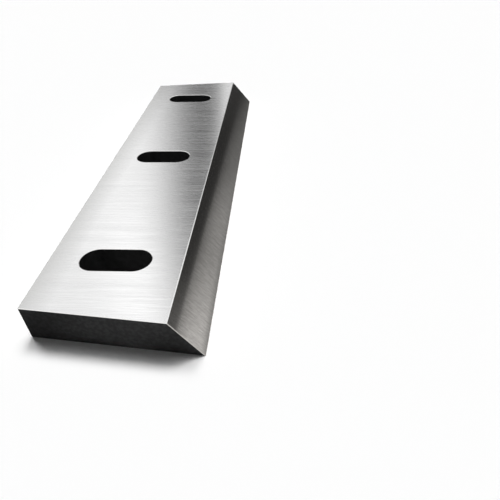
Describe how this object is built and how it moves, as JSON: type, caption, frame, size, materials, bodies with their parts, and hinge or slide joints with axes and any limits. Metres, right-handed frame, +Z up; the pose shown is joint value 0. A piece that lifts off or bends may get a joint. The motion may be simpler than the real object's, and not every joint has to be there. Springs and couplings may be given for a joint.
{
  "type": "granulator knife",
  "caption": "Flat steel bar with a ground bevel along one long side, ends that lean in towards the back, and round-ended slots across its width for clamping bolts.",
  "frame": {"origin": "middle of the bounding box, on the flat underside that the knife lies on", "axes": "+X along the cutting edge, +Y from the cutting edge to the back, +Z up through the thickness"},
  "size_m": [0.3178, 0.087, 0.02],
  "materials": {
    "ground_tool_steel": "hardened tool steel: surface-ground on the wide faces, the back and the bevel, dark hardening skin on the ends and in the slots"
  },
  "bodies": {
    "root": {"knife_blade": "ground_tool_steel"}
  },
  "joints": []
}
